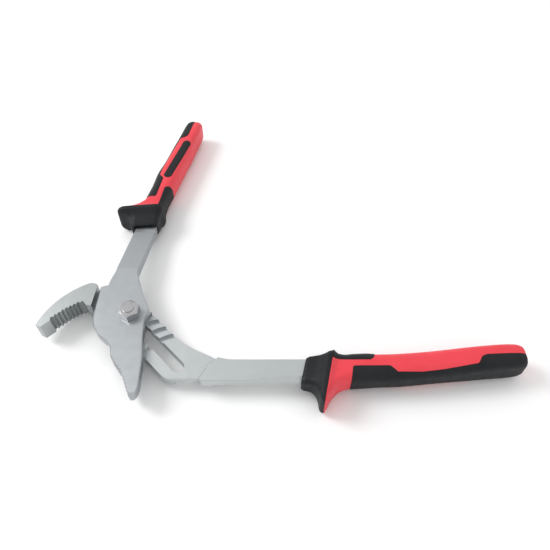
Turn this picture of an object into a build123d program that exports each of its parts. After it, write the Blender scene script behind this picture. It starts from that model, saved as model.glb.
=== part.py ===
"""Tongue and groove pliers, 250 mm class, laid flat with the jaws and handles wide open.

Frame: millimetres, +Z up. The origin is on the pivot bolt's axis, at the outer face of its head,
which is part of the plane that the tool rests on. +X runs along the slotted lever's handle.
The slotted lever lies below the lap plane and the tongue lever above it.
"""
import os
from math import atan2, cos, degrees, radians, sin, sqrt

from build123d import *

# ---------------------------------------------------------------- driving dimensions
LAP_Z = 9.6                # height of the plane where the two levers lap
LAP_GAP = 0.1              # each lever's flat stands back from the lap plane by this much
LEVER_LOW = 4.0            # underside of the slotted lever and of both jaws
SLOT_JAW_TOP = 14.8        # top of the slotted lever's jaw
TONGUE_TOP = 15.2          # flat top of the tongue lever
SHANK_T = 4.8              # thickness of both shanks, centred on the lap plane at the grips
SHANK_HALF = 6.2           # half the slotted lever's shank's width
TONGUE_SHANK = (-4.7, 7.4) # the tongue lever's shank, inner and outer side, in its grip's frame
HEEL_CUT = 3.0             # the slotted lever's outer lower edge is cut back by this much
EDGE = 0.5                 # bevel along the forgings' edges
FACET_START = 58.0         # the broad facet on the slotted lever's shank grows from nothing here
FACET_FULL = 84.0          # to its full size here
FACET_WIDTH = 2.8
FACET_DROP = 1.6

PIVOT_R = 3.25             # bolt body
FIT = 0.05                 # radial running clearance
THREAD_R = 3.0
HEAD_R = 6.6
NUT_ACROSS_FLATS = 10.0
NUT_H = 4.6
BOLT_END = 20.8

SLOT_ANGLE = -46.0         # direction of the slot, from the jaw end to the handle end
STEP_PITCH = 6.5           # distance between neighbouring settings
STEPS = 7
SLOT_OVERRUN = 1.5         # slot left beyond the bolt at the last setting
SLOT_LEAD = 0.3            # and before it at the first
TONGUE_R = 17.6            # radius of the tongue and of every groove
TONGUE_W = 2.6
TONGUE_H = 1.7
TONGUE_MID = 212.0         # middle of the tongue, as an angle about the bolt in the open pose
TONGUE_SPAN = 48.0
GROOVE_W = 3.2
GROOVE_D = 2.1
BOSS_R = 19.5              # round boss of the tongue lever
JAW_CLEAR_R = 20.2         # the tongue lever's jaw has its full thickness outside this radius
STRIP_UPPER = 10.3         # edges of the slotted plate, either side of the slot's centre line
STRIP_LOWER = 9.6

TOOTH_PITCH = 2.1
TOOTH_DEPTH = 1.1

GRIP_BOW = 7.15            # how far a grip bends towards the other handle, between these places
BOW_RANGE = (12.0, 110.0)
GRIP_END = 99.5
GUARD_LEAN = 12.5          # the finger guard leans forward at its outer end, in degrees
PAD_DEPTH = 1.2            # thickness of the soft pads let into the hard core
SHANK_END = -10.5          # the shank stops this far before the finger guard
TANG_HALF = 4.4
TANG_T = 6.0
TANG_END = 82.0

# A grip's own frame: origin at the finger guard, x along the handle, y towards the outside of
# the tool, z = 0 at mid height. Both levers carry nearly the same moulding, turned over on one.
TONGUE_GRIP = Plane((0.1, 80.3, LAP_Z), (cos(radians(83.3)), sin(radians(83.3)), 0), (0, 0, 1))
SLOT_GRIP = Plane((104.3, -32.0, LAP_Z), (1, 0, 0), (0, 0, -1))
GRIP_AXIS = 0.3            # the shank's and the guard's centre line in that frame

slot_dir = Vector(cos(radians(SLOT_ANGLE)), sin(radians(SLOT_ANGLE)))
slot_side = Vector(-slot_dir.Y, slot_dir.X)
slide_travel = STEP_PITCH * (STEPS - 1)
slot_half = PIVOT_R + FIT


def on_slot(distance, side=0.0):
    """Point a distance along the slot from the first setting, and off its centre line."""
    point = slot_dir * distance + slot_side * side
    return (point.X, point.Y)


def in_grip(grip, u, v):
    """Point of a grip's frame, as a point of the plan."""
    point = grip.from_local_coords(Vector(u, v, 0))
    return (point.X, point.Y)


def arc_band(center, radius, width, start, span):
    """Face between two arcs about one centre."""
    with BuildSketch() as band:
        with BuildLine():
            outer = CenterArc(center, radius + width / 2, start, span)
            inner = CenterArc(center, radius - width / 2, start, span)
            Line(outer @ 0, inner @ 0)
            Line(outer @ 1, inner @ 1)
        make_face()
    return band.sketch


def gullets(start, end):
    """V gullets between the teeth of one straight run, as squares set on their corners."""
    run = Vector(*end) - Vector(*start)
    count = round(run.length / TOOTH_PITCH)
    facing = degrees(atan2(run.Y, run.X))
    with BuildSketch() as row:
        for i in range(count):
            at = Vector(*start) + run * ((i + 0.5) / count)
            with Locations(Location((at.X, at.Y, 0), facing + 45)):
                Rectangle(TOOTH_DEPTH * sqrt(2), TOOTH_DEPTH * sqrt(2))
    return row.sketch


def bevelled_plate(outline, low, high):
    """Plate between two heights, with a bevel all round its top and bottom."""
    with BuildPart() as plate:
        with BuildSketch(Plane.XY.offset(low)):
            add(outline)
        extrude(amount=high - low)
        for flat in (plate.edges().group_by(Axis.Z)[-1], plate.edges().group_by(Axis.Z)[0]):
            chamfer(flat, EDGE)
    return plate.part


# ---------------------------------------------------------------- slotted lever
jaw_tip = (-48.8, -6.9)
jaw_tip_inner = (-45.7, -8.5)
jaw_land_end = (-41.6, -4.4)
slot_teeth = ((-41.9, -3.6), (-35.6, 2.6), (-28.6, 7.4))
throat = (-22.2, 5.4)
wall_top = (-21.6, 19.6)

shank_upper = -32.3 + SHANK_HALF
shank_lower = -32.3 - SHANK_HALF
heel_y = -36.4
shank_end_x = in_grip(SLOT_GRIP, SHANK_END, 0)[0]
upper_corner = ((STRIP_UPPER - wall_top[1] * slot_side.Y) / slot_side.X, wall_top[1])
lower_corner = ((-STRIP_LOWER - heel_y * slot_side.Y) / slot_side.X, heel_y)
bend_start = on_slot(24.7, STRIP_UPPER)
strip_end = on_slot(-10.2, -STRIP_LOWER)


def slotted_plate_outline():
    """The plate that carries the slot, and the shank behind it."""
    with BuildSketch() as outline:
        with BuildLine():
            FilletPolyline(wall_top, upper_corner, bend_start, radius=12)
            bend = Spline(bend_start, (33.9, -17.7), (43.2, -22.4), (47.6, -24.5), (51.6, -25.6),
                          (58.0, shank_upper),
                          tangents=(slot_dir, (1, 0)))
            Polyline(bend @ 1, (shank_end_x, shank_upper), (shank_end_x, shank_lower), (40.8, shank_lower),
                     (38.4, heel_y), (30.0, heel_y))
            FilletPolyline((30.0, heel_y), lower_corner, strip_end, radius=8)
            Polyline(strip_end, (-14.6, 1.8), (-19.6, 3.9), throat, (-24.5, 8.5), (-24.5, 17.5), wall_top)
        make_face()
    return outline.sketch


def tang_outline():
    """Bar that runs down the middle of a grip, in the grip's frame."""
    with BuildSketch() as outline:
        with BuildLine():
            sides = [
                Spline([(u, grip_centre(u) + side) for u in (SHANK_END, 10, 34, 58, TANG_END)])
                for side in (TANG_HALF, -TANG_HALF)
            ]
            Line(sides[0] @ 0, sides[1] @ 0)
            Line(sides[0] @ 1, sides[1] @ 1)
        make_face()
    return outline.sketch


def grip_centre(u):
    """Sideways place of a grip's centre line, which bends towards the other handle."""
    t = min(max((u - BOW_RANGE[0]) / (BOW_RANGE[1] - BOW_RANGE[0]), 0), 1)
    return GRIP_AXIS - GRIP_BOW * t * t * (3 - 2 * t)


def plate_stretch(*corners):
    """The part of the slotted plate's outline inside a polygon."""
    with BuildSketch() as outline:
        add(slotted_plate_outline())
        with BuildLine():
            Polyline(*corners, close=True)
        make_face(mode=Mode.INTERSECT)
    return outline.sketch


with BuildPart() as slot_lever:
    with BuildSketch(Plane.XY.offset(LEVER_LOW)):
        with BuildLine():
            jaw_back = ThreePointArc(jaw_tip, (-40.2, 10.6), (-27.4, 21.0))
            TangentArc(jaw_back @ 1, wall_top, tangent=jaw_back % 1)
            Polyline(wall_top, throat, (-25.0, 5.8), (-27.3, 8.6), *slot_teeth[::-1], jaw_land_end,
                     jaw_tip_inner, jaw_tip)
        make_face()
    extrude(amount=SLOT_JAW_TOP - LEVER_LOW)
    for flat in (slot_lever.edges().group_by(Axis.Z)[-1], slot_lever.edges().group_by(Axis.Z)[0]):
        chamfer(flat.filter_by(GeomType.CIRCLE), EDGE)

    # the plate ends under the shank, which stands above the lap plane behind a slanting shoulder
    plate = plate_stretch((-30, 30), (54.0, 30), (54.0, -24.0), (47.0, -40.0), (-30, -40))
    add(bevelled_plate(plate, LEVER_LOW, LAP_Z - LAP_GAP))
    shank = plate_stretch((39.0, -37.4), (42.8, -30.8), (42.9, -29.4), (46.1, -27.0), (51.6, -22.0),
                          (99, -22), (99, -40), (39.0, -40))
    add(bevelled_plate(shank, LAP_Z - SHANK_T / 2, LAP_Z + SHANK_T / 2))

    # the heel's and the shank's outer lower edge is cut back
    with BuildSketch(Plane.YZ.offset(27)):
        with BuildLine():
            Polyline((heel_y - 4, LEVER_LOW + HEEL_CUT), (heel_y, LEVER_LOW + HEEL_CUT),
                     (heel_y + HEEL_CUT, LEVER_LOW), (heel_y + HEEL_CUT, LEVER_LOW - 1),
                     (heel_y - 4, LEVER_LOW - 1), close=True)
        make_face()
    extrude(amount=30, mode=Mode.SUBTRACT)

    # a facet that widens along the shank's outer top edge towards the grip
    for x, size in ((FACET_START, 0.02), (FACET_FULL, 1.0), (shank_end_x + 1, 1.0)):
        with BuildSketch(Plane((x, shank_lower, LAP_Z + SHANK_T / 2), (0, 1, 0), (1, 0, 0))):
            with BuildLine():
                Polyline((FACET_WIDTH * size, 0), (0, -FACET_DROP * size), (-1, -FACET_DROP * size),
                         (-1, 0.1), (FACET_WIDTH * size, 0.1), close=True)
            make_face()
    loft(ruled=True, mode=Mode.SUBTRACT)

    with BuildSketch(SLOT_GRIP.offset(-TANG_T / 2)):
        add(tang_outline())
    extrude(amount=TANG_T)

    with BuildSketch(Plane.XY.offset(LEVER_LOW)):
        slot_run = slide_travel + SLOT_OVERRUN + SLOT_LEAD
        with Locations(Location((*on_slot(slot_run / 2 - SLOT_LEAD), 0), SLOT_ANGLE)):
            SlotCenterToCenter(slot_run, 2 * slot_half)
    extrude(amount=LAP_Z - LEVER_LOW, mode=Mode.SUBTRACT)

    with BuildSketch(Plane.XY.offset(LAP_Z - LAP_GAP - GROOVE_D)):
        for setting in range(STEPS):
            add(arc_band(on_slot(setting * STEP_PITCH), TONGUE_R, GROOVE_W, 90, 100))
    extrude(amount=GROOVE_D, mode=Mode.SUBTRACT)

    with BuildSketch(Plane.XY.offset(LEVER_LOW)):
        add(gullets(slot_teeth[0], slot_teeth[1]))
        add(gullets(slot_teeth[1], slot_teeth[2]))
    extrude(amount=SLOT_JAW_TOP - LEVER_LOW, mode=Mode.SUBTRACT)
slot_lever.part.label = "slot_lever"

# ---------------------------------------------------------------- tongue lever
boss_end = 242.0
tongue_teeth = ((-5.4, -26.2), (1.3, -34.8), (7.0, -47.1))
jaw_nose = (9.6, -47.8)
shoulder = (9.7, 3.0)
NECK_END = -49.0           # the flat boss part ends here, in the grip's frame, and the shank slopes down
neck_left = in_grip(TONGUE_GRIP, NECK_END, TONGUE_SHANK[1])
neck_right = in_grip(TONGUE_GRIP, NECK_END, TONGUE_SHANK[0])


def tongue_lever_outline():
    """Jaw, boss and neck of the tongue lever in one outline."""
    with BuildSketch() as outline:
        with BuildLine():
            Spline(neck_left, (-14.1, 27.6), (-15.3, 22.6), (-15.6, 19.6),
                   tangents=(-TONGUE_GRIP.x_dir, (-0.05, -1)))
            FilletPolyline((-15.6, 19.6), (-BOSS_R, 18.4), (-BOSS_R, 0), radius=1)
            boss = CenterArc((0, 0), BOSS_R, 180, boss_end - 180)
            flank = Polyline(boss @ 1, (-6.6, -20.6), *tongue_teeth)
            nose = TangentArc(flank @ 1, jaw_nose, tangent=flank % 1)
            Spline(nose @ 1, (11.3, -39.0), (11.0, -31.2), (10.3, -24.0), (9.0, -15.0), (8.4, -8.0), shoulder,
                   tangents=(nose % 1, (0.4, 1)))
            Spline(shoulder, (5.9, 11.0), (2.5, 18.6), (0.4, 25.0), neck_right,
                   tangents=((-0.5, 1), TONGUE_GRIP.x_dir))
            Line(neck_right, neck_left)
        make_face()
    return outline.sketch


def jaw_level(z, back):
    """Section of the tongue lever's jaw below its plate; its back draws in towards the underside."""
    with BuildSketch(Plane.XY.offset(z)) as level:
        with BuildLine():
            Polyline((-9.15, -17.2), (-6.6, -20.6), *tongue_teeth[:2], *back, (1.8, -16.4), (-4.3, -19.9),
                     close=True)
        make_face()
    return level.sketch


with BuildPart() as tongue_lever:
    add(bevelled_plate(tongue_lever_outline(), LAP_Z + LAP_GAP, TONGUE_TOP))

    # the jaw has its full thickness only where the slotted plate never comes
    add(jaw_level(LEVER_LOW, ((6.0, -44.9), (8.2, -40.2), (8.7, -33.0), (8.5, -25.5))))
    add(jaw_level(LAP_Z + LAP_GAP, ((7.0, -47.1), (10.0, -42.5), (10.9, -33.0), (10.2, -25.5))))
    loft(ruled=True)
    with BuildSketch(Plane.XY.offset(LEVER_LOW)):
        with Locations(Location((*on_slot(0, 50 - STRIP_LOWER - 0.8), 0), SLOT_ANGLE)):
            Rectangle(200, 100)
        Circle(JAW_CLEAR_R)
    extrude(amount=LAP_Z + LAP_GAP - LEVER_LOW, mode=Mode.SUBTRACT)

    # the nose's end is ground back at a slant
    with BuildSketch(Plane.YZ):
        with BuildLine():
            Polyline((-46.4, TONGUE_TOP + 0.1), (-46.4, TONGUE_TOP), (-49.2, LAP_Z), (-52, LAP_Z),
                     (-52, TONGUE_TOP + 0.1), close=True)
        make_face()
    extrude(amount=20, mode=Mode.SUBTRACT)

    # the shank slopes down to the lap plane, so that both grips lie at one height
    shank_low, shank_high = -SHANK_T / 2, SHANK_T / 2
    plate_low, plate_high = LAP_GAP, TONGUE_TOP - LAP_Z
    side = Plane(in_grip(TONGUE_GRIP, 0, TONGUE_SHANK[0]) + (LAP_Z,), TONGUE_GRIP.x_dir, -TONGUE_GRIP.y_dir)
    with BuildSketch(side):
        with BuildLine():
            Polyline((NECK_END - 3, plate_low), (NECK_END - 3, plate_high), (NECK_END, plate_high),
                     (-16, shank_high), (SHANK_END, shank_high), (SHANK_END, shank_low), (-16, shank_low),
                     (NECK_END, plate_low), close=True)
        make_face()
    extrude(amount=TONGUE_SHANK[0] - TONGUE_SHANK[1])

    with BuildSketch(TONGUE_GRIP.offset(-TANG_T / 2)):
        add(tang_outline())
    extrude(amount=TANG_T)

    with BuildSketch(Plane.XY.offset(LAP_Z + LAP_GAP - TONGUE_H)):
        add(arc_band((0, 0), TONGUE_R, TONGUE_W, TONGUE_MID - TONGUE_SPAN / 2, TONGUE_SPAN))
    extrude(amount=TONGUE_H)

    with Locations((0, 0, LAP_Z)):
        Hole(slot_half)

    with BuildSketch(Plane.XY.offset(LEVER_LOW)):
        add(gullets(tongue_teeth[0], tongue_teeth[1]))
        add(gullets(tongue_teeth[1], tongue_teeth[2]))
    extrude(amount=TONGUE_TOP - LEVER_LOW, mode=Mode.SUBTRACT)
tongue_lever.part.label = "tongue_lever"

# ---------------------------------------------------------------- pivot
with BuildPart() as pivot_bolt:
    Cylinder(HEAD_R, LEVER_LOW - LAP_GAP, align=(Align.CENTER, Align.CENTER, Align.MIN))
    chamfer(pivot_bolt.edges().group_by(Axis.Z)[0], 0.6)
    Cylinder(PIVOT_R, TONGUE_TOP + LAP_GAP, align=(Align.CENTER, Align.CENTER, Align.MIN))
    Cylinder(THREAD_R, BOLT_END, align=(Align.CENTER, Align.CENTER, Align.MIN))
    chamfer(pivot_bolt.edges().group_by(Axis.Z)[-1], 0.5)
pivot_bolt.part.label = "pivot_bolt"

with BuildPart() as pivot_nut:
    with BuildSketch(Plane.XY.offset(TONGUE_TOP + LAP_GAP)):
        RegularPolygon(NUT_ACROSS_FLATS / 2, 6, major_radius=False, rotation=30)
    extrude(amount=NUT_H)
    # the corners are turned off to a cone, as on any machined nut
    with BuildSketch(Plane.XZ):
        with BuildLine():
            nut_top = TONGUE_TOP + LAP_GAP + NUT_H
            Polyline((NUT_ACROSS_FLATS / 2 - 0.7, nut_top), (NUT_ACROSS_FLATS / 2 + 1.7, nut_top - 1.6),
                     (NUT_ACROSS_FLATS / 2 + 1.7, nut_top), close=True)
        make_face()
    revolve(axis=Axis.Z, mode=Mode.SUBTRACT)
    with Locations((0, 0, TONGUE_TOP)):
        Hole(THREAD_R)
pivot_nut.part.label = "pivot_nut"

# ---------------------------------------------------------------- grips
# along the grip: place, inner and outer reach from the centre line, half height, corner radius
GRIP_STATIONS = (
    (-12.6, 6.6, 8.2, 4.9, 2.4),
    (-12.0, 6.9, 8.6, 5.2, 2.6),
    (-9.0, 7.1, 9.0, 5.8, 2.6),
    (-6.4, 7.3, 9.8, 6.5, 2.8),
    (-4.2, 7.7, 11.8, 7.6, 3.4),
    (-2.6, 8.3, 15.0, 8.7, 4.2),
    (-1.3, 8.8, 18.6, LAP_Z, 4.6),
    (0.7, 9.1, 19.8, LAP_Z, 4.6),
    (1.9, 8.5, 18.2, 8.8, 4.6),
    (3.6, 7.8, 13.4, 7.8, 4.6),
    (6.5, 7.6, 9.6, 7.4, 4.8),
    (11.0, 8.1, 7.8, 7.3, 5.0),
    (17.0, 8.3, 7.4, 7.4, 5.2),
    (24.0, 7.8, 7.1, 7.3, 5.2),
    (36.0, 7.3, 7.3, 7.4, 5.2),
    (50.0, 7.2, 7.2, 7.4, 5.2),
    (62.0, 7.2, 7.2, 7.5, 5.0),
    (76.0, 7.0, 7.0, 7.8, 4.3),
    (88.0, 6.8, 6.8, 7.8, 3.8),
    (94.5, 6.5, 6.5, 7.5, 3.6),
    (98.2, 5.6, 5.6, 6.6, 3.4),
    (GRIP_END, 4.0, 4.0, 5.0, 3.0),
)
# on the tongue lever the guard sits further out and the tail is slimmer and shorter:
# place, taken off the inner reach, put onto the outer reach
TONGUE_CHANGES = (
    (-12.6, 0.9, 2.0),
    (-4.2, 1.6, 2.2),
    (0.7, 2.4, 2.2),
    (3.6, 1.9, 2.2),
    (6.5, 1.7, 1.6),
    (11.0, 2.2, 0.2),
    (17.0, 2.0, 0.0),
    (24.0, 0.9, 0.0),
    (36.0, 0.0, 0.3),
    (50.0, 0.0, -0.4),
    (62.0, 0.0, -0.4),
    (76.0, 0.8, -0.7),
    (GRIP_END, 0.8, -0.7),
)
TONGUE_TAIL = (88.0, 0.8)  # beyond this place its length is reduced by this factor
LEAN_FADES = (3.0, 36.0)   # the sections turn square to the handle between these places


def tongue_station(u, inner, outer, half_height, corner):
    """The tongue lever's version of one station."""
    for (u0, off0, on0), (u1, off1, on1) in zip(TONGUE_CHANGES, TONGUE_CHANGES[1:]):
        if u0 <= u <= u1:
            t = (u - u0) / (u1 - u0)
            inner -= off0 + (off1 - off0) * t
            outer += on0 + (on1 - on0) * t
            break
    place = u if u < TONGUE_TAIL[0] else TONGUE_TAIL[0] + (u - TONGUE_TAIL[0]) * TONGUE_TAIL[1]
    return (place, inner, outer, half_height, min(corner, inner - 0.3))


def grip_envelope(stations, inset=0.0):
    """Solid inside the grip's skin, or a given depth under it."""
    with BuildPart() as body:
        for u, inner, outer, half_height, corner in stations:
            fade = min(max((LEAN_FADES[1] - u) / (LEAN_FADES[1] - LEAN_FADES[0]), 0), 1)
            lean = radians(GUARD_LEAN * fade)
            across = Vector(-sin(lean), cos(lean))
            origin = Vector(u, grip_centre(u)) + across * ((outer - inner) / 2)
            with BuildSketch(Plane(origin, across, (cos(lean), sin(lean), 0))):
                RectangleRounded(inner + outer - 2 * inset, 2 * (half_height - inset), corner - inset)
        loft(ruled=True)
    return body.part


def plan_region(*corners):
    """Everything above and below an outline of the grip's plan."""
    with BuildPart() as region:
        with BuildSketch(Plane.XY.offset(-15)):
            with BuildLine():
                Polyline(*corners, close=True)
            make_face()
        extrude(amount=30)
    return region.part


def lever_pocket(sides):
    """Room for a lever's shank and tang, from the shank's two sides."""
    with BuildPart() as pocket:
        with BuildSketch(Plane.YZ.offset(SHANK_END)):
            with Locations(((sides[0] + sides[1]) / 2, 0)):
                Rectangle(sides[1] - sides[0], SHANK_T)
        extrude(amount=-20)
        with BuildSketch(Plane.XY.offset(-TANG_T / 2)):
            add(tang_outline())
        extrude(amount=TANG_T)
    return pocket.part



def border_at(v, shift):
    """Place along the handle where the guard meets the hard core, which leans like the guard."""
    return 0.76 + shift - 0.2225 * v


side_region = plan_region((11.2, 0.6), (29.6, 0.4), (33.0, 3.7), (45.0, 3.5), (56.0, 2.2), (73.4, -0.7),
                          (75.8, -4.6), (78.5, -5.7), (97.0, -6.5), (101.0, -6.5), (101.0, 12.0), (9.0, 12.0))
inset_start = Vector(33.0, -1.6)
inset_end = Vector(68.5, -6.4)
inset_run = inset_end - inset_start

with BuildPart() as inset_region:
    with BuildSketch(Plane.XY):
        with Locations(Location((inset_start + inset_run / 2), degrees(atan2(inset_run.Y, inset_run.X)))):
            SlotOverall(40.5, 5.8)
    extrude(amount=15)

with BuildPart() as sleeve:
    with BuildSketch(Plane.YZ.offset(-6)):
        with Locations((GRIP_AXIS, 0)):
            RectangleRounded(10.6, 8.4, 2)
    extrude(amount=10)


def moulding(stations, shank_sides, shift):
    """The five pieces of one grip, in the grip's own frame; shift moves the guard's back border."""
    border = ((border_at(-15, shift), -15), (border_at(25, shift), 25))
    guard_region = plan_region((-20, -15), *border, (-20, 25))
    core_region = plan_region((110, -15), *border, (110, 25))
    pad_regions = {
        "thumb_pad": plan_region((border_at(-2.4, shift + 0.05), -2.4), (20.2, -2.4), (22.4, -5.0),
                                 (22.4, -12.0), (border_at(-12, shift + 0.05), -12.0)),
        "side_pad": side_region,
        "top_inset": inset_region.part,
    }
    skin = grip_envelope(stations)
    under_skin = grip_envelope(stations, PAD_DEPTH)
    pocket = lever_pocket(shank_sides)
    pieces = {}
    for pad_name, region in pad_regions.items():
        with BuildPart() as pad:
            add(skin)
            add(region, mode=Mode.INTERSECT)
            add(under_skin, mode=Mode.SUBTRACT)
        pieces[pad_name] = pad.part
    with BuildPart() as guard:
        add(skin)
        add(guard_region, mode=Mode.INTERSECT)
        add(sleeve.part, mode=Mode.SUBTRACT)
        add(pocket, mode=Mode.SUBTRACT)
    with BuildPart() as grip_core:
        add(skin)
        add(core_region, mode=Mode.INTERSECT)
        add(sleeve.part)
        for pad in pieces.values():
            add(pad, mode=Mode.SUBTRACT)
        add(pocket, mode=Mode.SUBTRACT)
    pieces["guard"] = guard.part
    pieces["grip_core"] = grip_core.part
    return pieces


# ---------------------------------------------------------------- one file for each piece
os.makedirs("parts", exist_ok=True)
for piece in (slot_lever, tongue_lever, pivot_bolt, pivot_nut):
    export_step(piece.part, f"parts/{piece.part.label}.step")

slot_sides = (GRIP_AXIS - SHANK_HALF, GRIP_AXIS + SHANK_HALF)
tongue_stations = tuple(tongue_station(*station) for station in GRIP_STATIONS)
for lever_name, grip, stations, sides, shift in (("slot", SLOT_GRIP, GRIP_STATIONS, slot_sides, 0.0),
                                                 ("tongue", TONGUE_GRIP, tongue_stations, TONGUE_SHANK, 1.7)):
    for piece_name, piece in moulding(stations, sides, shift).items():
        placed = piece.moved(grip.location)
        placed.label = f"{lever_name}_{piece_name}"
        export_step(placed, f"parts/{placed.label}.step")
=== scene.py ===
"""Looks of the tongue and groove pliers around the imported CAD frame. Metres, +Z up."""
import math

import bpy
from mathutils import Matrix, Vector


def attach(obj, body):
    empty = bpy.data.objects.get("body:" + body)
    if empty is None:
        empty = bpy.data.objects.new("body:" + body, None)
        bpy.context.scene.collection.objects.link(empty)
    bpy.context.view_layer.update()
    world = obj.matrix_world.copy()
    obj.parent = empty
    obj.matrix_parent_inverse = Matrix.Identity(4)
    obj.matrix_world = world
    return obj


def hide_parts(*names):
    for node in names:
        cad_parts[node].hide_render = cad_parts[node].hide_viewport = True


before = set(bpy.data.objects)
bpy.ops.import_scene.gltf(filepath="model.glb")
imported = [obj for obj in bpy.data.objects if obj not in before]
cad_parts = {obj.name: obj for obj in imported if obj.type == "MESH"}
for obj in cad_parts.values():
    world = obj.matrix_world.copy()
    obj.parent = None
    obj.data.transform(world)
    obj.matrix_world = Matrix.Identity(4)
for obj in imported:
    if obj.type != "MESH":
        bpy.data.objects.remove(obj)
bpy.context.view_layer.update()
MM = 0.001


# ---------------------------------------------------------------- node helpers
class Mat:
    """A material with a few short ways to add nodes to it."""

    def __init__(self, name):
        self.material = bpy.data.materials.new(name)
        self.material.use_nodes = True
        self.tree = self.material.node_tree
        self.shader = self.tree.nodes["Principled BSDF"]
        self.coords = self.tree.nodes.new("ShaderNodeTexCoord").outputs["Object"]

    def set(self, **values):
        for name, value in values.items():
            self.shader.inputs[name.replace("_", " ")].default_value = value

    def link(self, output, name):
        self.tree.links.new(output, self.shader.inputs[name])

    def noise(self, scale, detail=3):
        node = self.tree.nodes.new("ShaderNodeTexNoise")
        node.inputs["Scale"].default_value = scale
        node.inputs["Detail"].default_value = detail
        self.tree.links.new(self.coords, node.inputs["Vector"])
        return node.outputs["Fac"]

    def cells(self, scale):
        node = self.tree.nodes.new("ShaderNodeTexVoronoi")
        node.inputs["Scale"].default_value = scale
        self.tree.links.new(self.coords, node.inputs["Vector"])
        return node.outputs["Distance"]

    def along_x(self):
        node = self.tree.nodes.new("ShaderNodeSeparateXYZ")
        self.tree.links.new(self.coords, node.inputs["Vector"])
        return node.outputs["X"]

    def ramp(self, source, first, second, low=0.3, high=0.7):
        """The first colour up to low, the second from high, and a blend between."""
        node = self.tree.nodes.new("ShaderNodeValToRGB")
        for element, place, colour in zip(node.color_ramp.elements, (low, high), (first, second)):
            element.position = place
            element.color = (*colour, 1)
        self.tree.links.new(source, node.inputs["Fac"])
        return node.outputs["Color"]

    def span(self, source, low, high, from_low=0.3, from_high=0.7):
        """The source's range from from_low to from_high, spread over low to high."""
        limits = {"From Min": from_low, "From Max": from_high, "To Min": low, "To Max": high}
        node = self.tree.nodes.new("ShaderNodeMapRange")
        for name, value in limits.items():
            node.inputs[name].default_value = value
        self.tree.links.new(source, node.inputs["Value"])
        return node.outputs["Result"]

    def multiply(self, a, b):
        factor, first, second, result = 0, 6, 7, 2    # the Mix node's sockets for colours
        node = self.tree.nodes.new("ShaderNodeMix")
        node.data_type = "RGBA"
        node.blend_type = "MULTIPLY"
        node.inputs[factor].default_value = 1.0
        self.tree.links.new(a, node.inputs[first])
        self.tree.links.new(b, node.inputs[second])
        return node.outputs[result]

    def bump(self, *layers):
        """Stack of (height, strength, distance in metres)."""
        normal = None
        for height, strength, distance in layers:
            node = self.tree.nodes.new("ShaderNodeBump")
            node.inputs["Strength"].default_value = strength
            node.inputs["Distance"].default_value = distance
            self.tree.links.new(height, node.inputs["Height"])
            if normal:
                self.tree.links.new(normal, node.inputs["Normal"])
            normal = node.outputs["Normal"]
        self.link(normal, "Normal")


# ---------------------------------------------------------------- materials
PAINTED_LIGHT_FROM = -12 * MM     # painted light: the slotted lever's base colour is painted brighter behind its jaw, growing over this run
PAINTED_LIGHT_TO = 4 * MM


def forged_steel(name, tone, rough, painted_light_gain=1.0):
    """Blasted and plated forging with fine pits and a faint cloudy tone, painted shade in the pits,
    and painted light: from behind the jaw on, brighter by that factor."""
    m = Mat(name)
    m.set(Metallic=1.0)
    dark = tuple(c * 0.975 for c in tone)
    light = tuple(c * 1.02 for c in tone)
    pits = m.cells(1900)
    clouds = m.ramp(m.noise(45), dark, light, low=0.34, high=0.66)
    # painted shade: the base colour darkens towards each pit's centre, where the bump sinks the surface
    painted_pit_shade = m.span(pits, 0.82, 1.0, from_low=0.0, from_high=0.35)
    # painted light: the base colour rises by the given factor from x = -12 mm to x = 4 mm
    painted_light_ramp = m.span(m.along_x(), 1.0, painted_light_gain, from_low=PAINTED_LIGHT_FROM, from_high=PAINTED_LIGHT_TO)
    m.link(m.multiply(m.multiply(clouds, painted_pit_shade), painted_light_ramp), "Base Color")
    m.link(m.span(m.noise(260), rough - 0.03, rough + 0.04), "Roughness")
    m.bump((m.noise(500), 0.03, 0.0001), (m.noise(2600), 0.16, 0.00008), (pits, 0.12, 0.00006))
    return m.material


def bright_plate(name):
    """Plated fastener: turned and rolled, brighter and smoother than the forgings."""
    m = Mat(name)
    m.set(Metallic=1.0)
    m.link(m.ramp(m.noise(300), (0.43, 0.43, 0.44), (0.49, 0.49, 0.50)), "Base Color")
    m.link(m.span(m.noise(900), 0.22, 0.30), "Roughness")
    m.bump((m.noise(1500), 0.04, 0.00004))
    return m.material


def moulded_red(name):
    """Hard red plastic with a fine moulded grain."""
    m = Mat(name)
    m.set(Specular_IOR_Level=0.45)
    m.link(m.ramp(m.noise(60), (0.69, 0.033, 0.050), (0.76, 0.046, 0.066)), "Base Color")
    m.link(m.span(m.noise(300), 0.40, 0.52), "Roughness")
    m.bump((m.noise(160), 0.08, 0.0003), (m.cells(1700), 0.12, 0.00005))
    return m.material


def soft_black(name):
    """Soft black rubber-like plastic: matt and finely grained."""
    m = Mat(name)
    m.set(Specular_IOR_Level=0.24)
    tone = m.ramp(m.noise(90, detail=4), (0.0060, 0.0070, 0.0082), (0.0100, 0.0115, 0.0132))
    m.link(tone, "Base Color")
    m.link(m.span(m.noise(350), 0.46, 0.60), "Roughness")
    m.bump((m.noise(150), 0.10, 0.0003), (m.cells(1400), 0.25, 0.00007))
    return m.material


steel = forged_steel("forged_steel", (0.405, 0.425, 0.44), 0.40)
# painted light: a copy of the forged steel painted 1.28 times brighter behind the slotted lever's jaw
painted_light_steel = forged_steel("painted_light_steel", (0.405, 0.425, 0.43), 0.38, painted_light_gain=1.28)
plate = bright_plate("plated_fastener")
red = moulded_red("red_plastic")
black = soft_black("black_rubber")

for node, material in (("slot_lever", painted_light_steel), ("tongue_lever", steel),
                       ("pivot_bolt", plate), ("pivot_nut", plate)):
    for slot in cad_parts[node].material_slots:
        slot.material = material

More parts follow.
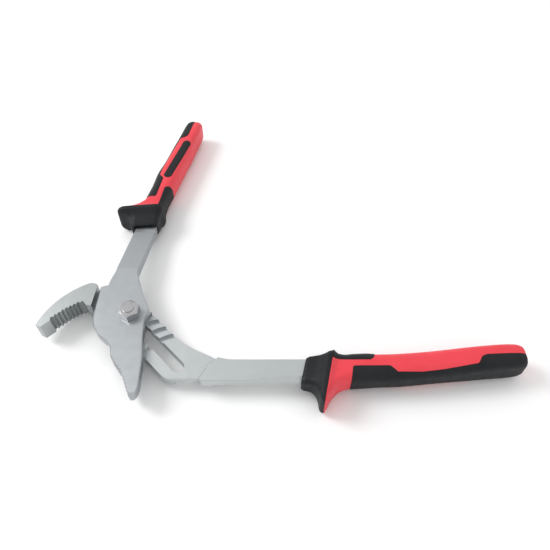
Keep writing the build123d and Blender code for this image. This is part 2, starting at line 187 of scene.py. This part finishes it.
# ---------------------------------------------------------------- grips
# one moulding for both levers, in millimetres in its own frame: u along the handle from the finger
# guard, v towards the outside of the tool, z = 0 at mid height
STATIONS = (
    # place, inner and outer reach from the centre line, half height, corner radius
    (-12.6, 6.6, 8.2, 4.9, 2.4),
    (-12.0, 6.9, 8.6, 5.2, 2.6),
    (-9.0, 7.1, 9.0, 5.8, 2.6),
    (-6.4, 7.3, 9.8, 6.5, 2.8),
    (-4.2, 7.7, 11.8, 7.6, 3.4),
    (-2.6, 8.3, 15.0, 8.7, 4.2),
    (-1.3, 8.8, 18.6, 9.6, 4.6),
    (0.7, 9.1, 19.8, 9.6, 4.6),
    (1.9, 8.5, 18.2, 8.8, 4.6),
    (3.6, 7.8, 13.4, 7.8, 4.6),
    (6.5, 7.6, 9.6, 7.4, 4.8),
    (11.0, 8.1, 7.8, 7.3, 5.0),
    (17.0, 8.3, 7.4, 7.4, 5.2),
    (24.0, 7.8, 7.1, 7.3, 5.2),
    (36.0, 7.3, 7.3, 7.4, 5.2),
    (50.0, 7.2, 7.2, 7.4, 5.2),
    (62.0, 7.2, 7.2, 7.5, 5.0),
    (76.0, 7.0, 7.0, 7.8, 4.3),
    (88.0, 6.8, 6.8, 7.8, 3.8),
    (94.5, 6.5, 6.5, 7.5, 3.6),
    (98.2, 5.6, 5.6, 6.6, 3.4),
    (99.5, 4.0, 4.0, 5.0, 3.0),
)
# the tongue lever's grip differs a little: place, off the inner reach, onto the outer reach
TONGUE_CHANGES = (
    (-12.6, 0.9, 2.0),
    (-4.2, 1.6, 2.2),
    (0.7, 2.4, 2.2),
    (3.6, 1.9, 2.2),
    (6.5, 1.7, 1.6),
    (11.0, 2.2, 0.2),
    (17.0, 2.0, 0.0),
    (24.0, 0.9, 0.0),
    (36.0, 0.0, 0.3),
    (50.0, 0.0, -0.4),
    (62.0, 0.0, -0.4),
    (76.0, 0.8, -0.7),
    (99.5, 0.8, -0.7),
)
FRONT = STATIONS[0][0]
TONGUE_TAIL = (88.0, 0.8)  # from this place on, the tongue lever's grip is shortened by this factor
GRIP_AXIS = 0.3            # v of the grip's centre line at the guard
GRIP_BOW = 7.15            # how far it bends towards the other handle, between these places
BOW_RANGE = (12.0, 110.0)
GUARD_LEAN = 12.5          # the finger guard leans forward at its outer end, in degrees
LEAN_FADE = (3.0, 36.0)    # and the lean fades out between these places
ARC_STEPS = 9              # points on a section's corners and flats
FLAT_STEPS = 5

# the guard's front, from the recess round the shank over the lip: drawn in by, set back by
LIP = ((2.4, 2.6), (2.1, 0.35), (1.7, 0.05), (0.6, 0.0), (0.15, 0.25), (0.0, 0.7))
LIP_LENGTH = 1.4
TAIL_LIP = ((0.3, -0.12), (0.9, 0.0))
SEAM = ((0.0, 0.4), (0.1, 0.12))    # groove between guard and core: distance from the border, depth
SEAM_LENGTH = 0.35
FINE_STEP = 0.55           # spacing of the sections at the guard, along the handle and at the tail
FINE_END = 12.0
HANDLE_STEP = 1.6
HANDLE_RANGE = (13.4, 92.6)
TAIL_STEP = 0.45
TAIL_START = 93.2

PROUD = 0.22               # the pads stand above the skin by this much
EDGE_SINK = 0.3            # and their edges roll under it, over this width
EDGE_ROLL = 0.45
PAD_SINK = 1.0             # how deep the pads and the inset reach into the core
INSET_SINK = 1.2
PAD_STEP = 0.8
INSET_STEP = 1.2
PAD_COLUMNS = 44
INSET_COLUMNS = 16
END_STEPS = 8              # rows in a pad's rounded end
NARROWEST = 0.02           # half the width left at a pad's very end

# edges of the pads on the grip's top, as (u, v)
SIDE_EDGE = ((11.0, 0.6), (29.6, 0.4), (33.0, 3.7), (45.0, 3.5), (56.0, 2.2), (73.4, -0.7), (75.8, -4.6),
             (78.5, -5.7), (97.0, -6.5))
SIDE_START = 11.2
SIDE_TO_END = 0.6          # left between the side pad and the grip's end
SIDE_RADIUS = 1.2
THUMB_EDGE = ((1.2, -2.4), (20.0, -2.4), (22.4, -4.2))
THUMB_END = 22.4
THUMB_RADIUS = 1.8
THUMB_UNDER = 0.7          # the thumb pad starts this far under the guard
INSET_LINE = ((33.0, -1.6), (68.5, -6.4))
INSET_WIDTH = 5.8

LAP = 9.6                  # height of both grips' middle plane


def pchip(xs, ys, x):
    """Monotone cubic through the stations, so that no bump appears between them."""
    if x <= xs[0]:
        return ys[0]
    if x >= xs[-1]:
        return ys[-1]
    i = max(k for k in range(len(xs) - 1) if xs[k] <= x)
    slopes = [(ys[k + 1] - ys[k]) / (xs[k + 1] - xs[k]) for k in range(len(xs) - 1)]

    def tangent(k):
        if k == 0 or k == len(xs) - 1:
            return slopes[0] if k == 0 else slopes[-1]
        a, b = slopes[k - 1], slopes[k]
        return 0.0 if a * b <= 0 else 2 * a * b / (a + b)

    h = xs[i + 1] - xs[i]
    t = (x - xs[i]) / h
    return (ys[i] * (1 + 2 * t) * (1 - t) ** 2 + h * tangent(i) * t * (1 - t) ** 2
            + ys[i + 1] * t * t * (3 - 2 * t) + h * tangent(i + 1) * t * t * (t - 1))


def centre(u):
    """v of the grip's centre line, a smooth step from the guard to the tail."""
    start, end = BOW_RANGE
    t = min(max((u - start) / (end - start), 0), 1)
    return GRIP_AXIS - GRIP_BOW * t * t * (3 - 2 * t)


def tongue_station(u, inner, outer, half, corner):
    """The tongue lever's version of a station."""
    for (u0, off0, on0), (u1, off1, on1) in zip(TONGUE_CHANGES, TONGUE_CHANGES[1:]):
        if u0 <= u <= u1:
            t = (u - u0) / (u1 - u0)
            inner -= off0 + (off1 - off0) * t
            outer += on0 + (on1 - on0) * t
            break
    tail, factor = TONGUE_TAIL
    place = u if u < tail else tail + (u - tail) * factor
    return (place, inner, outer, half, min(corner, inner - 0.3))


def steps(start, end, spacing):
    """Even places from start to end, about a spacing apart."""
    count = max(2, round((end - start) / spacing))
    return [round(start + (end - start) * i / count, 4) for i in range(count + 1)]


def through(knots):
    """Straight runs through (u, v) knots."""
    def at(u):
        if u <= knots[0][0]:
            return knots[0][1]
        for (u0, v0), (u1, v1) in zip(knots, knots[1:]):
            if u <= u1:
                return v0 + (v1 - v0) * (u - u0) / (u1 - u0)
        return knots[-1][1]
    return at


def shrunk(ring, by):
    """A ring drawn in towards its middle by a distance."""
    hub = [sum(c) / len(ring) for c in zip(*ring)]
    out = []
    for p in ring:
        d = [h - c for h, c in zip(hub, p)]
        length = math.hypot(*d)
        out.append(tuple(c + x / length * by for c, x in zip(p, d)))
    return out


def moved(ring, du):
    return [(u + du, v, z) for u, v, z in ring]


def rolled(edge):
    """Height over the skin at a distance from a pad's edge."""
    return PROUD - (PROUD + EDGE_SINK) * max(0, 1 - edge / EDGE_ROLL) ** 2


def on_skin(top, path, s, lift):
    """Point at a signed distance along the skin from the strip's middle; negative is the underside."""
    d = min(abs(s), path[-1])
    k = max(i for i in range(len(path) - 1) if path[i] <= d)
    f = (d - path[k]) / max(path[k + 1] - path[k], 1e-9)
    a, b = top[k], top[k + 1]
    u, v, z = (x + (y - x) * f for x, y in zip(a, b))
    along = Vector((b[1] - a[1], b[2] - a[2])).normalized()
    outwards = 1 if top[0][1] > top[-1][1] else -1
    v += along.y * outwards * lift
    z -= along.x * outwards * lift
    return (u, v, z if s >= 0 else -z)


def tube(rings):
    """Faces that join rings of equal length, and fans over the two ends."""
    points = [p for ring in rings for p in ring]
    n = len(rings[0])
    last = n * (len(rings) - 1)
    faces = []
    for start in range(0, last, n):
        for k in range(n):
            a, b = start + k, start + (k + 1) % n
            faces.append((a, b, b + n, a + n))
    for ring, start, flip in ((rings[0], 0, True), (rings[-1], last, False)):
        hub = len(points)
        points.append(tuple(sum(c) / n for c in zip(*ring)))
        for k in range(n):
            face = (start + k, start + (k + 1) % n, hub)
            faces.append(face[::-1] if flip else face)
    return points, faces


def closed_sheet(rows, low_rows, flip):
    """A grid of points and the same grid sunk below it, joined round their rims."""
    n, count = len(rows[0]), len(rows)
    under = n * count
    points = [p for row in rows + low_rows for p in row]
    faces = []
    for start in range(0, under - n, n):
        for a in range(start, start + n - 1):
            faces.append((a, a + 1, a + 1 + n, a + n))
    faces += [tuple(under + i for i in reversed(face)) for face in faces]
    rim = list(range(n))
    rim += [r * n + n - 1 for r in range(1, count)]
    rim += [(count - 1) * n + c for c in range(n - 2, -1, -1)]
    rim += [r * n for r in range(count - 2, 0, -1)]
    for a, b in zip(rim, rim[1:] + rim[:1]):
        faces.append((b, a, a + under, b + under))
    return points, [face[::-1] for face in faces] if flip else faces


class Grip:
    """One lever's grip: its sections along the handle, and its place in the tool."""

    def __init__(self, origin, angle, up, stations, border):
        self.origin = origin
        self.angle = math.radians(angle)
        self.up = up
        self.places, *self.measures = zip(*stations)
        self.end = self.places[-1]
        self.border = border

    def to_world(self, point):
        u, v, z = point[0], point[1] * self.up, point[2] * self.up
        x = self.origin[0] + math.cos(self.angle) * u - math.sin(self.angle) * v
        y = self.origin[1] + math.sin(self.angle) * u + math.cos(self.angle) * v
        return (x * MM, y * MM, (LAP + z) * MM)

    def section(self, u, inset=0.0):
        """Points round the grip at one place, starting at the middle of the outer side, over the top."""
        inner, outer, half, corner = (pchip(self.places, values, u) for values in self.measures)
        start, end = LEAN_FADE
        lean = math.radians(GUARD_LEAN * min(max((end - u) / (end - start), 0), 1))
        mid = (outer - inner) / 2
        width = (inner + outer) / 2 - inset
        half -= inset
        corner -= inset
        arcs = []
        for side_v, side_z, first in ((1, 1, 0), (-1, 1, 90), (-1, -1, 180), (1, -1, 270)):
            turns = [math.radians(first + 90 * k / ARC_STEPS) for k in range(ARC_STEPS + 1)]
            arcs.append([(side_v * (width - corner) + corner * math.cos(a),
                          side_z * (half - corner) + corner * math.sin(a)) for a in turns])
        ring = []
        for arc, following in zip(arcs, arcs[1:] + arcs[:1]):
            (v0, z0), (v1, z1) = arc[-1], following[0]
            ring += arc
            ring += [(v0 + (v1 - v0) * k / FLAT_STEPS, z0 + (z1 - z0) * k / FLAT_STEPS)
                     for k in range(1, FLAT_STEPS)]
        shift = len(ring) - FLAT_STEPS // 2
        return [(u - math.sin(lean) * (mid + v), centre(u) + math.cos(lean) * (mid + v), z)
                for v, z in ring[shift:] + ring[:shift]]

    def skin_height(self, u, v):
        """Height of the grip's top skin over a point of its plan."""
        ring = self.section(u)
        top = ring[:len(ring) // 2 + 1]
        for a, b in zip(top, top[1:]):
            if b[1] <= v <= a[1]:
                return a[2] + (b[2] - a[2]) * (a[1] - v) / max(a[1] - b[1], 1e-9)
        return 0.0

    def guard(self):
        """Front lip with a shallow recess round the shank, then the skin back to the border."""
        front = self.section(FRONT)
        rings = [moved(shrunk(front, drawn_in), back) for drawn_in, back in LIP]
        rings += [self.section(u) for u in steps(FRONT + LIP_LENGTH, self.border - SEAM_LENGTH, FINE_STEP)]
        rings += [self.section(self.border - away, depth) for away, depth in reversed(SEAM)]
        return tube(rings)

    def core(self):
        """The hard core from the border to the tail."""
        rings = [self.section(self.border + away, depth) for away, depth in SEAM]
        for start, end, spacing in ((self.border + SEAM_LENGTH, FINE_END, FINE_STEP),
                                    (*HANDLE_RANGE, HANDLE_STEP),
                                    (TAIL_START, self.end - TAIL_STEP, TAIL_STEP)):
            rings += [self.section(u) for u in steps(start, end, spacing)]
        last = self.section(self.end)
        rings += [moved(shrunk(last, drawn_in), back) for drawn_in, back in TAIL_LIP]
        return tube(rings)

    def pad_row(self, u, from_end, limit, outer, radius):
        """Points across a pad at one place, from the limit's v on one side to the same on the other."""
        ring = self.section(u)
        middle = len(ring) // 2
        top = ring[:middle + 1] if outer else ring[middle::-1]
        path = [0.0]
        for a, b in zip(top, top[1:]):
            path.append(path[-1] + math.dist(a, b))
        half = path[-1]
        for k in range(1, len(top)):
            before, here = top[k - 1][1], top[k][1]
            if (here <= limit) if outer else (here >= limit):
                f = (limit - before) / (here - before)
                half = path[k - 1] + (path[k] - path[k - 1]) * min(max(f, 0), 1)
                break
        inside = max(radius - from_end, 0)
        half = max(half - radius + math.sqrt(max(radius ** 2 - inside ** 2, 0)), NARROWEST)
        row = []
        for c in range(PAD_COLUMNS + 1):
            s = -half * math.cos(math.pi * c / PAD_COLUMNS)
            row.append(on_skin(top, path, s, rolled(min(half - abs(s), from_end))))
        return row

    def pad(self, start, end, edge, outer, radius):
        """A soft pad let into the skin and sunk into the core, on the outer or the inner side."""
        reach = through(edge)
        turn = [radius * (1 - math.cos(math.pi / 2 * i / END_STEPS)) for i in range(END_STEPS)]
        places = [start + t for t in turn]
        places += steps(start + radius, end - radius, PAD_STEP)
        places += [end - t for t in reversed(turn)]
        rows, low_rows = [], []
        for u in places:
            row = self.pad_row(u, min(u - start, end - u), reach(u), outer, radius)
            hub = (u, centre(u), 0)
            rows.append(row)
            low_rows.append([tuple(c + (h - c) * PAD_SINK / max(math.dist(hub, p), 1)
                                   for c, h in zip(p, hub)) for p in row])
        return closed_sheet(rows, low_rows, flip=not outer)

    def inset(self, start, end, width):
        """Soft strip with round ends on the grip's broad top."""
        axis = Vector((end[0] - start[0], end[1] - start[1]))
        length = axis.length
        axis.normalize()
        half = width / 2
        turn = [half * math.cos(math.pi / 2 * i / END_STEPS) for i in range(END_STEPS)]
        places = [-t for t in turn] + steps(0, length, INSET_STEP) + [length + t for t in reversed(turn)]
        rows, low_rows = [], []
        for t in places:
            over = max(-t, t - length, 0)
            reach = max(math.sqrt(max(half ** 2 - over ** 2, 0)), NARROWEST)
            row, low = [], []
            for c in range(INSET_COLUMNS + 1):
                w = -reach * math.cos(math.pi * c / INSET_COLUMNS)
                u = start[0] + axis.x * t - axis.y * w
                v = start[1] + axis.y * t + axis.x * w
                z = self.skin_height(u, v)
                row.append((u, v, z + rolled(half - math.hypot(over, w))))
                low.append((u, v, z - INSET_SINK))
            rows.append(row)
            low_rows.append(low)
        return closed_sheet(rows, low_rows, flip=True)


def mesh_object(name, points, faces, material):
    mesh = bpy.data.meshes.new(name)
    mesh.from_pydata(points, [], faces)
    mesh.validate()
    mesh.update()
    for polygon in mesh.polygons:
        polygon.use_smooth = True
    mesh.materials.append(material)
    piece = bpy.data.objects.new(name, mesh)
    bpy.context.collection.objects.link(piece)
    return piece


# origin in mm, direction of u in degrees, 1 or -1 if the moulding is turned over, stations, and the
# place where the guard ends and the core begins
GRIPS = {
    "tongue": Grip((0.1, 80.3), 83.3, 1, [tongue_station(*station) for station in STATIONS], 2.4),
    "slot": Grip((104.3, -32.0), 0.0, -1, STATIONS, 0.7),
}
bodies = {"tongue": "tongue_side", "slot": "slot_side"}
for lever, grip in GRIPS.items():
    shapes = {
        "guard": (grip.guard(), black),
        "grip_core": (grip.core(), red),
        "side_pad": (grip.pad(SIDE_START, grip.end - SIDE_TO_END, SIDE_EDGE, True, SIDE_RADIUS), black),
        "thumb_pad": (grip.pad(grip.border - THUMB_UNDER, THUMB_END, THUMB_EDGE, False, THUMB_RADIUS), black),
        "top_inset": (grip.inset(*INSET_LINE, INSET_WIDTH), black),
    }
    for part, ((points, faces), material) in shapes.items():
        piece = mesh_object(f"{lever}_{part}_skin", [grip.to_world(p) for p in points], faces, material)
        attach(piece, bodies[lever])
        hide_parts(f"{lever}_{part}")

# ---------------------------------------------------------------- floor, light, camera
FLOOR_SIZE = 6.0
FLOOR_DROP = 0.2 * MM      # the floor lies just under the tool's lowest face
bpy.ops.mesh.primitive_plane_add(size=FLOOR_SIZE, location=(0.08, 0.05, -FLOOR_DROP))
floor = bpy.context.object
floor.name = "floor"
floor_mat = Mat("floor")
floor_mat.set(Roughness=0.8, Specular_IOR_Level=0.2)
floor_tone = floor_mat.ramp(floor_mat.noise(3, detail=2), (0.90, 0.90, 0.90), (0.92, 0.92, 0.92))
floor_mat.link(floor_tone, "Base Color")
floor.data.materials.append(floor_mat.material)

world = bpy.data.worlds.new("studio")
bpy.context.scene.world = world
world.use_nodes = True
world.node_tree.nodes["Background"].inputs["Color"].default_value = (1, 1, 1, 1)
world.node_tree.nodes["Background"].inputs["Strength"].default_value = 0.90
bpy.context.scene.view_settings.view_transform = "Standard"

# one soft key light from the left, out of the flat faces' mirror direction
KEY_SIZE = 0.6
KEY_POWER = 11
KEY_PLACE = Vector((-0.95, 0.30, 0.95))
KEY_AIM = Vector((0.077, 0.05, 0.01))
key_data = bpy.data.lights.new("key", "AREA")
key_data.size = KEY_SIZE
key_data.energy = KEY_POWER
key = bpy.data.objects.new("key", key_data)
bpy.context.collection.objects.link(key)
key.location = KEY_PLACE
key.rotation_euler = (KEY_AIM - KEY_PLACE).to_track_quat("-Z", "Y").to_euler()

CAMERA_PLACE = Vector((77.3, -162.6, 240.6)) * MM
CAMERA_AIM = Vector((77.3, 31.2, 9.6)) * MM
SENSOR_WIDTH = 36.0
LENS = 34.036
camera_data = bpy.data.cameras.new("camera")
camera_data.sensor_width = SENSOR_WIDTH
camera_data.lens = LENS
camera_data.clip_start = 0.01
camera = bpy.data.objects.new("camera", camera_data)
bpy.context.collection.objects.link(camera)
camera.location = CAMERA_PLACE
camera.rotation_euler = (CAMERA_AIM - CAMERA_PLACE).to_track_quat("-Z", "Y").to_euler()
bpy.context.scene.camera = camera
